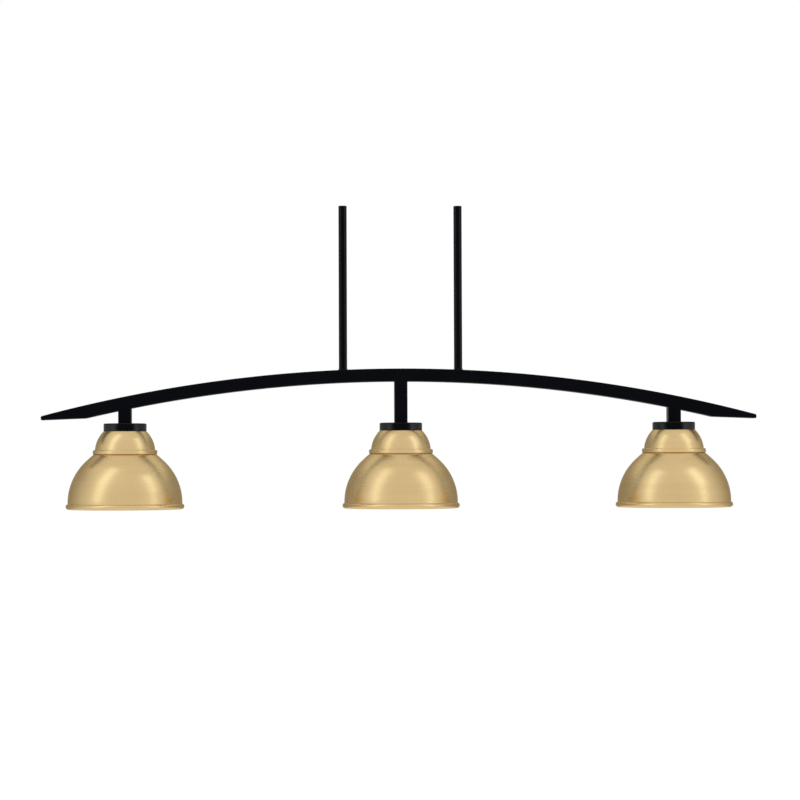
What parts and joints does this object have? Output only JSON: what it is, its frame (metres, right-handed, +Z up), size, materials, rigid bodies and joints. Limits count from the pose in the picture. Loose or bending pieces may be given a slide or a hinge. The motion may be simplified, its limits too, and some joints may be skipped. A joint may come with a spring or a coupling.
{
  "type": "linear island pendant light",
  "caption": "Linear island pendant: an arched square-tube bar on round stems, with short square drops that carry round caps and spun double-bubble dome shades.",
  "frame": {"origin": "midway between the tops of the two stems, on the plane of their tops", "axes": "+X along the arched bar, +Y to the back, +Z up along the stems"},
  "size_m": [1.0414, 0.1706, 0.4406],
  "materials": {
    "black_metal": "satin black powder coat",
    "satin_brass": "fine brushed satin, lacquered",
    "zinc_steel": "bright zinc plate",
    "black_phenolic": "moulded, low sheen",
    "white_ceramic": "unglazed steatite",
    "nickel_shell": "nickel-plated brass",
    "spring_bronze": "plain phosphor bronze",
    "tinned_contact": "tinned",
    "black_glaze": "gloss",
    "bulb_shell_metal": "bright, rolled thread",
    "frosted_glass": "frosted",
    "filament_glass": "clear glass with yellow filaments",
    "lead_sheath": "smooth PVC",
    "splice_plastic": "moulded nylon"
  },
  "bodies": {
    "frame": {"arched_bar": "black_metal", "bar_end_plates": "black_metal", "stem_nipples": "zinc_steel", "cap_nipples": "zinc_steel", "cap_lock_nuts": "zinc_steel", "drop_plugs": "zinc_steel", "terminal_screws": "zinc_steel", "supply_lead": "lead_sheath", "splice_block": "splice_plastic", "stem_stub_left": "black_metal", "stem_left": "black_metal", "stem_stub_right": "black_metal", "stem_right": "black_metal", "fitter_cap_left": "black_metal", "holder_dome_left": "black_phenolic", "holder_insert_left": "white_ceramic", "holder_skirt_left": "black_phenolic", "screw_shell_left": "nickel_shell", "centre_contact_left": "spring_bronze", "drop_tube_left": "black_metal", "lamp_lead_left": "lead_sheath", "fitter_cap_centre": "black_metal", "holder_dome_centre": "black_phenolic", "holder_insert_centre": "white_ceramic", "holder_skirt_centre": "black_phenolic", "screw_shell_centre": "nickel_shell", "centre_contact_centre": "spring_bronze", "drop_tube_centre": "black_metal", "lamp_lead_centre": "lead_sheath", "fitter_cap_right": "black_metal", "holder_dome_right": "black_phenolic", "holder_insert_right": "white_ceramic", "holder_skirt_right": "black_phenolic", "screw_shell_right": "nickel_shell", "centre_contact_right": "spring_bronze", "drop_tube_right": "black_metal", "lamp_lead_right": "lead_sheath"},
    "hung_shade_left": {"shade_left": "satin_brass"},
    "clamp_ring_left": {"shade_ring_left": "black_phenolic"},
    "bulb_tip_left": {"bulb_contact_left": "tinned_contact", "bulb_insulator_left": "black_glaze"},
    "screwed_bulb_left": {"bulb_shell_left": "bulb_shell_metal", "bulb_globe_left": "frosted_glass", "bulb_filaments_left": "filament_glass"},
    "hung_shade_centre": {"shade_centre": "satin_brass"},
    "clamp_ring_centre": {"shade_ring_centre": "black_phenolic"},
    "bulb_tip_centre": {"bulb_contact_centre": "tinned_contact", "bulb_insulator_centre": "black_glaze"},
    "screwed_bulb_centre": {"bulb_shell_centre": "bulb_shell_metal", "bulb_globe_centre": "frosted_glass", "bulb_filaments_centre": "filament_glass"},
    "hung_shade_right": {"shade_right": "satin_brass"},
    "clamp_ring_right": {"shade_ring_right": "black_phenolic"},
    "bulb_tip_right": {"bulb_contact_right": "tinned_contact", "bulb_insulator_right": "black_glaze"},
    "screwed_bulb_right": {"bulb_shell_right": "bulb_shell_metal", "bulb_globe_right": "frosted_glass", "bulb_filaments_right": "filament_glass"}
  },
  "joints": [
    {"name": "shade_lower_left", "type": "slide", "parent": "frame", "child": "hung_shade_left", "axis": [0, 0, -1], "range_m": [0, 0.01]},
    {"name": "ring_unscrew_left", "type": "hinge", "parent": "hung_shade_left", "child": "clamp_ring_left", "pos_m": [-0.4, 0, -0.3287], "axis": [0, 0, -1], "range_deg": [0, 1440]},
    {"name": "bulb_lower_left", "type": "slide", "parent": "frame", "child": "bulb_tip_left", "axis": [0, 0, -1], "range_m": [0, 0.0145]},
    {"name": "bulb_unscrew_left", "type": "hinge", "parent": "bulb_tip_left", "child": "screwed_bulb_left", "pos_m": [-0.4, 0, -0.3448], "axis": [0, 0, -1], "range_deg": [0, 1440]},
    {"name": "shade_lower_centre", "type": "slide", "parent": "frame", "child": "hung_shade_centre", "axis": [0, 0, -1], "range_m": [0, 0.01]},
    {"name": "ring_unscrew_centre", "type": "hinge", "parent": "hung_shade_centre", "child": "clamp_ring_centre", "pos_m": [0, 0, -0.3287], "axis": [0, 0, -1], "range_deg": [0, 1440]},
    {"name": "bulb_lower_centre", "type": "slide", "parent": "frame", "child": "bulb_tip_centre", "axis": [0, 0, -1], "range_m": [0, 0.0145]},
    {"name": "bulb_unscrew_centre", "type": "hinge", "parent": "bulb_tip_centre", "child": "screwed_bulb_centre", "pos_m": [0, 0, -0.3448], "axis": [0, 0, -1], "range_deg": [0, 1440]},
    {"name": "shade_lower_right", "type": "slide", "parent": "frame", "child": "hung_shade_right", "axis": [0, 0, -1], "range_m": [0, 0.01]},
    {"name": "ring_unscrew_right", "type": "hinge", "parent": "hung_shade_right", "child": "clamp_ring_right", "pos_m": [0.4, 0, -0.3287], "axis": [0, 0, -1], "range_deg": [0, 1440]},
    {"name": "bulb_lower_right", "type": "slide", "parent": "frame", "child": "bulb_tip_right", "axis": [0, 0, -1], "range_m": [0, 0.0145]},
    {"name": "bulb_unscrew_right", "type": "hinge", "parent": "bulb_tip_right", "child": "screwed_bulb_right", "pos_m": [0.4, 0, -0.3448], "axis": [0, 0, -1], "range_deg": [0, 1440]}
  ],
  "couplings": [
    {"joint": "ring_unscrew_left", "follows": "shade_lower_left", "rad_per_m": 2513.3},
    {"joint": "bulb_unscrew_left", "follows": "bulb_lower_left", "rad_per_m": 1731.6},
    {"joint": "ring_unscrew_centre", "follows": "shade_lower_centre", "rad_per_m": 2513.3},
    {"joint": "bulb_unscrew_centre", "follows": "bulb_lower_centre", "rad_per_m": 1731.6},
    {"joint": "ring_unscrew_right", "follows": "shade_lower_right", "rad_per_m": 2513.3},
    {"joint": "bulb_unscrew_right", "follows": "bulb_lower_right", "rad_per_m": 1731.6}
  ]
}
